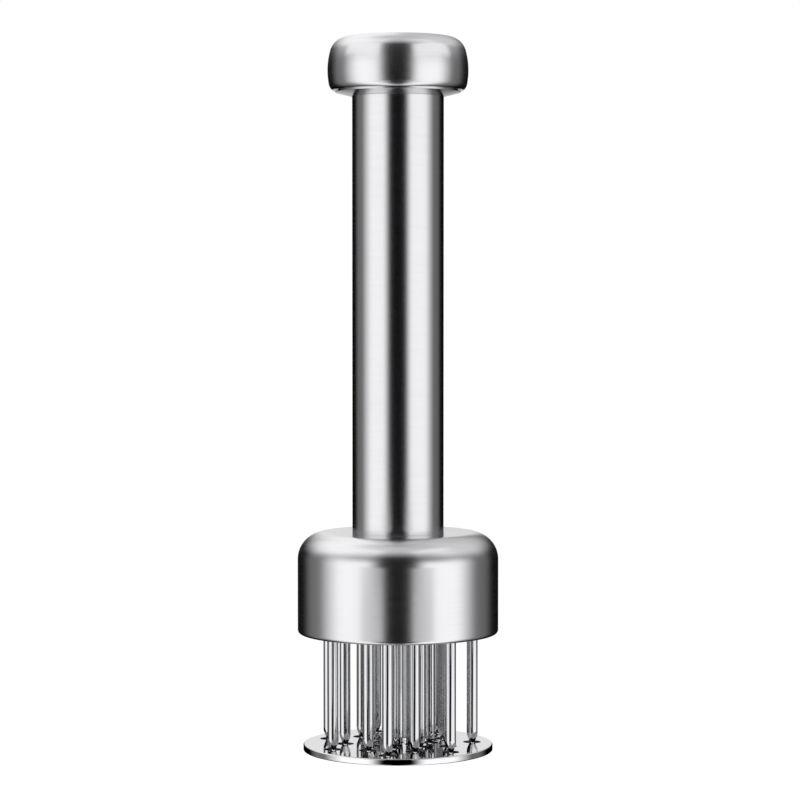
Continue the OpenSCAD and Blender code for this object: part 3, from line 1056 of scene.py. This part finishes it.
@dataclass
class GuardDisc(Piece):
    """The flat polished disc that the pins pass through.

    Attributes:
        places: Middles of the pins, where its holes are.
        edge: Radius of its outer edges.
        hole: Radius of a pin's hole.
        burr: Radius of the deburred edges of those holes.
        screw: Radius of the screw's hole.
        head: Radius of the screw's countersink.
        head_z: Height of the countersink's wide end.
        flat: A face whose normal has at least this Z lies on one of the disc's flat sides.
        edge_steps: Number of lines in the arc of an outer edge.
        burr_steps: Number of lines in the arc of a hole's edge.
        hole_faces: Number of faces round a hole.
    """

    places: list[Vector] = field(default_factory=list)
    edge: float = 0.35 * MM
    hole: float = 2.25 * MM
    burr: float = 0.3 * MM
    screw: float = 1.52 * MM
    head: float = 3.02 * MM
    head_z: float = 0.175 * MM
    flat: float = 0.98
    edge_steps: int = 8
    burr_steps: int = 4
    hole_faces: int = 64

    def cutter(self) -> bpy.types.Object:
        """Makes one piece that cuts all the pins' holes, each flared at both faces of the disc.

        Returns:
            The cutter.
        """
        over = self.edge
        wide = self.hole + self.burr
        section = Section("hole_cutter", 0, self.low - over)
        section.line(wide, self.low - over).line(wide, self.low)
        section.arc(wide, self.low + self.burr, -90, self.burr_steps)
        section.line(self.hole, self.high - self.burr)
        section.arc(wide, self.high - self.burr, -90, self.burr_steps)
        section.line(wide, self.high + over).line(0, self.high + over)
        first = section.spin(self.hole_faces)
        copies = []
        for place in self.places:
            select_only(first)
            bpy.ops.object.duplicate()
            copy = bpy.context.object
            bpy.ops.transform.translate(value=(place.x, place.y, 0))
            copies.append(copy)
        bpy.data.objects.remove(first)
        deselect_all()
        for copy in copies:
            copy.select_set(True)
        bpy.context.view_layer.objects.active = copies[0]
        bpy.ops.object.join()
        bpy.ops.object.transform_apply(location=True, rotation=True, scale=True)
        return bpy.context.object

    def shape(self) -> bpy.types.Object:
        """Turns the disc and cuts its holes.

        Returns:
            The modelled piece, undressed.
        """
        out, edge = self.radius, self.edge
        cone_z = self.head_z + self.head - self.screw
        section = Section(self.name, self.screw, self.high)
        section.line(self.screw, cone_z).line(self.head, self.head_z).line(self.head, self.low)
        section.line(out - edge, self.low).arc(out - edge, self.low + edge, 90, self.edge_steps)
        section.line(out, self.high - edge).arc(out - edge, self.high - edge, 90, self.edge_steps)
        section.line(self.screw, self.high)
        disc = section.spin()
        cutter = self.cutter()
        select_only(disc)
        cut = disc.modifiers.new("holes", "BOOLEAN")
        cut.operation = "DIFFERENCE"
        cut.object = cutter
        bpy.ops.object.modifier_apply(modifier=cut.name)
        bpy.data.objects.remove(cutter)
        return disc

    def dress(self, made: bpy.types.Object) -> None:
        """Gives the disc its finish, and the walls of the pins' holes the punched finish, whose dark colour
        is painted shade.

        Args:
            made: The modelled disc.
        """
        super().dress(made)
        # The walls of the pins' holes take the punched finish, whose dark colour is painted shade inside the
        # holes
        painted_shade_walls = []
        for face in made.data.polygons:
            away = min((face.center.xy - place.xy).length for place in self.places)
            if abs(face.normal.z) < self.flat and away < self.hole + self.burr:
                painted_shade_walls.append(face.index)
        self.wardrobe.dress_faces(made, PUNCHED_PAINTED_SHADE, painted_shade_walls)


@dataclass
class DiscBoss(Piece):
    """The ring in the middle of the disc that the rod stands in.

    Attributes:
        bore: Radius of its hole.
        edge: Radius of its upper edge.
        edge_steps: Number of lines in the arc of that edge.
    """

    bore: float = 3.02 * MM
    edge: float = 0.35 * MM
    edge_steps: int = 8

    def shape(self) -> bpy.types.Object:
        """Turns the ring.

        Returns:
            The modelled piece, undressed.
        """
        out, edge = self.radius, self.edge
        section = Section(self.name, self.bore, self.low)
        section.line(out, self.low).line(out, self.high - edge)
        section.arc(out - edge, self.high - edge, 90, self.edge_steps)
        section.line(self.bore, self.high).line(self.bore, self.low)
        return section.spin()


@dataclass
class Pin(Piece):
    """A round pin with a flat head, and flats ground to a point at its lower end.

    Attributes:
        stem: Radius of the pin.
        head: Radius of its head.
        head_h: Height of its head.
        point: Length of the ground point.
        tip: Width of the flat tip.
        flats: Number of ground flats.
        flat_turn: Direction that the first flat faces, in degrees from +X.
        edge: Radius of the head's upper edge.
        edge_steps: Number of lines in the arc of that edge.
        faces: Number of faces round the pin.
    """

    stem: float = 1.5 * MM
    head: float = 2.2 * MM
    head_h: float = 1.0 * MM
    point: float = 4.5 * MM
    tip: float = 0.25 * MM
    flats: int = 4
    flat_turn: float = 25.0
    edge: float = 0.15 * MM
    edge_steps: int = 4
    faces: int = 48

    def grind(self) -> bpy.types.Object:
        """Turns a pin on the axis and grinds its flats.

        Returns:
            The pin.
        """
        neck, over = self.high - self.head_h, self.tip
        section = Section(PATTERN_PIN, 0, self.low - over)
        section.line(self.stem, self.low - over).line(self.stem, self.low + self.point)
        section.line(self.stem, neck).line(self.head, neck).line(self.head, self.high - self.edge)
        section.arc(self.head - self.edge, self.high - self.edge, 90, self.edge_steps)
        section.line(0, self.high)
        pin = section.spin(self.faces)
        lean = math.atan((self.stem - self.tip / 2) / self.point)
        cuts = [((0, 0, self.low), (0, 0, -1))]
        for number in range(self.flats):
            turn = math.radians(self.flat_turn + number * 360 / self.flats)
            way = Vector((math.cos(turn), math.sin(turn), 0))
            cuts.append((
                way * self.tip / 2 + Vector((0, 0, self.low)),
                way * math.cos(lean) - Vector((0, 0, math.sin(lean))),
            ))
        bpy.ops.object.mode_set(mode="EDIT")
        for point, facing in cuts:
            bpy.ops.mesh.select_all(action="SELECT")
            bpy.ops.mesh.bisect(plane_co=point, plane_no=facing, use_fill=True, clear_outer=True)
        bpy.ops.mesh.select_all(action="SELECT")
        bpy.ops.mesh.remove_doubles(threshold=WELD)
        bpy.ops.mesh.normals_make_consistent(inside=False)
        bpy.ops.object.mode_set(mode="OBJECT")
        return pin

    def shape(self) -> bpy.types.Object:
        """Copies the ground pin to this pin's place, with a mesh of its own.

        Returns:
            The modelled piece, undressed.
        """
        pattern = bpy.data.objects.get(PATTERN_PIN) or self.grind()
        select_only(pattern)
        bpy.ops.object.duplicate()
        pin = bpy.context.object
        pin.name = self.name
        low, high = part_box(self.node)
        bpy.ops.transform.translate(value=((low.x + high.x) / 2, (low.y + high.y) / 2, 0))
        return pin


@dataclass
class GuideRod(Piece):
    """The rod that carries the disc and slides in the handle.

    Attributes:
        edge: Radius of its upper edge.
        screw: Radius of the screw's hole in its foot.
        screw_z: Height of the end of that hole.
        groove: Radius at the foot of the clip's groove.
        groove_low: Height of the groove's lower face.
        groove_high: Height of its upper face.
        edge_steps: Number of lines in the arc of the upper edge.
    """

    edge: float = 0.6 * MM
    screw: float = 1.52 * MM
    screw_z: float = 13.175 * MM
    groove: float = 2.4 * MM
    groove_low: float = 76.3 * MM
    groove_high: float = 77.5 * MM
    edge_steps: int = 8

    def shape(self) -> bpy.types.Object:
        """Turns the rod, with its groove and its screw hole.

        Returns:
            The modelled piece, undressed.
        """
        out, edge = self.radius, self.edge
        section = Section(self.name, 0, self.screw_z)
        section.line(self.screw, self.screw_z).line(self.screw, self.low).line(out, self.low)
        section.line(out, self.groove_low).line(self.groove, self.groove_low)
        section.line(self.groove, self.groove_high).line(out, self.groove_high)
        section.line(out, self.high - edge).arc(out - edge, self.high - edge, 90, self.edge_steps)
        section.line(0, self.high)
        return section.spin()


@dataclass
class ReturnSpring(Piece):
    """The round wire spring that pushes the guard down, with a closed turn at each end.

    Attributes:
        wire: Radius of the wire.
        turns: Number of turns.
        end_pitch: Rise of the closed turn at each end.
        keep: Share of its length that is left when the guard is all the way up; not used.
        fixed_z: Height of the end that stays in its place; not used.
        turn_steps: Number of faces along a turn.
        sides: Number of faces round the wire.
    """

    wire: float = 0.75 * MM
    turns: int = 14
    end_pitch: float = 2.0 * MM
    keep: float = 1.0
    fixed_z: float = 0.0
    turn_steps: int = 48
    sides: int = 16

    def coil(self, start: float, turns: int, pitch: float) -> bpy.types.Object:
        """Winds a run of turns with the same rise.

        Args:
            start: Height of the wire's middle where the run starts.
            turns: Number of turns.
            pitch: Rise of a turn.

        Returns:
            The run, open at its ends.
        """
        deselect_all()
        place = (self.radius - self.wire, 0, start)
        bpy.ops.mesh.primitive_circle_add(
            vertices=self.sides, radius=self.wire, location=place, rotation=(math.pi / 2, 0, 0)
        )
        run = bpy.context.object
        bpy.ops.object.transform_apply(location=True, rotation=True, scale=True)
        wind = run.modifiers.new("winding", "SCREW")
        wind.steps = wind.render_steps = self.turn_steps
        wind.iterations = turns
        wind.screw_offset = pitch
        bpy.ops.object.modifier_apply(modifier=wind.name)
        return run

    def shape(self) -> bpy.types.Object:
        """Winds the three runs, joins them and closes the wire's ends.

        Returns:
            The modelled piece, undressed.
        """
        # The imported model's wire has six sides, and none of its corners points up or down
        inset = self.wire * math.sin(math.pi / 3)
        foot, head = self.low + inset, self.high - inset
        open_pitch = (head - foot - 2 * self.end_pitch) / (self.turns - 2)
        runs = [
            self.coil(foot, 1, self.end_pitch),
            self.coil(foot + self.end_pitch, self.turns - 2, open_pitch),
            self.coil(head - self.end_pitch, 1, self.end_pitch),
        ]
        select_only(runs[0])
        for run in runs:
            run.select_set(True)
        bpy.ops.object.join()
        bpy.ops.object.mode_set(mode="EDIT")
        bpy.ops.mesh.select_all(action="SELECT")
        bpy.ops.mesh.remove_doubles(threshold=WELD)
        bpy.ops.mesh.fill_holes(sides=self.sides)
        bpy.ops.mesh.normals_make_consistent(inside=False)
        bpy.ops.object.mode_set(mode="OBJECT")
        runs[0].name = self.name
        return runs[0]

    def build(self) -> bpy.types.Object:
        """Builds the spring, and gives it a mesh of its own.

        Returns:
            The finished spring.
        """
        made = super().build()
        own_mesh(made)
        return made


def pin_nodes() -> list[str]:
    """Names of the pins' nodes, ring by ring."""
    return [f"{ring}_pin_{number + 1}" for ring in RINGS for number in range(PINS_PER_RING)]


def build_shells(wardrobe: Wardrobe) -> None:
    """Builds the pieces that the hand holds.

    Args:
        wardrobe: Where the materials come from.
    """
    steel = "brushed_steel"
    foot_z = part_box("cap_base")[0].z
    HandleTube(wardrobe, "handle_tube", "tube_wall", SATIN_TUBE, steel).build()
    Housing(wardrobe, "housing", "bell_wall", SATIN_BELL, steel).build()
    CapBase(wardrobe, "cap_base", "cap_foot", SATIN_CAP, steel).build()
    CapShell(wardrobe, "cap_shell", "cap_dome", SATIN_CAP, steel, foot_z=foot_z).build()


def build_guard(wardrobe: Wardrobe) -> None:
    """Builds the disc, its boss and the rod.

    Args:
        wardrobe: Where the materials come from.
    """
    places = [(Vector(low) + Vector(high)) / 2 for low, high in map(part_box, pin_nodes())]
    steel = "polished_steel"
    GuardDisc(wardrobe, "guard_disc", "disc_plate", MIRROR, steel, GUARD_BODY, places=places).build()
    DiscBoss(wardrobe, "disc_boss", "boss_ring", MIRROR, steel, GUARD_BODY).build()
    GuideRod(wardrobe, "guide_rod", "rod_bar", MIRROR, steel, GUARD_BODY).build()


def build_spring(wardrobe: Wardrobe, travel: float) -> None:
    """Builds the return spring.

    Args:
        wardrobe: Where the materials come from.
        travel: How far the guard rises.
    """
    fixed_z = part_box("upper_spring_seat")[0].z
    keep = 1 - travel / (fixed_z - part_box("return_spring")[0].z)
    spring = ("return_spring", "spring_wire", SPRING_WIRE, "spring_steel")
    ReturnSpring(wardrobe, *spring, keep=keep, fixed_z=fixed_z).build()


def build_pins(wardrobe: Wardrobe) -> None:
    """Builds the pins.

    Args:
        wardrobe: Where the materials come from.
    """
    for node in pin_nodes():
        Pin(wardrobe, node, f"{node}_ground", BRIGHT_DRAWN, "pin_steel").build()
    bpy.data.objects.remove(bpy.data.objects[PATTERN_PIN])


def main() -> None:
    """Builds the dressed model and its studio."""
    logging.basicConfig(level=logging.INFO, format="%(message)s")
    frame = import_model()
    Studio().build()
    wardrobe = Wardrobe()
    slots = {part["node"]: part["material_slot"] for part in frame["record"]["subparts"]}
    for name, node in frame["nodes"].items():
        wardrobe.dress(node, SLOT_FINISHES[slots[name]])
    build_shells(wardrobe)
    build_guard(wardrobe)
    joints = {joint["name"]: joint for joint in frame["record"]["behaviour"]["joints"]}
    build_spring(wardrobe, joints[GUARD_JOINT]["range_m"][1])
    build_pins(wardrobe)


if __name__ == "__main__":
    main()
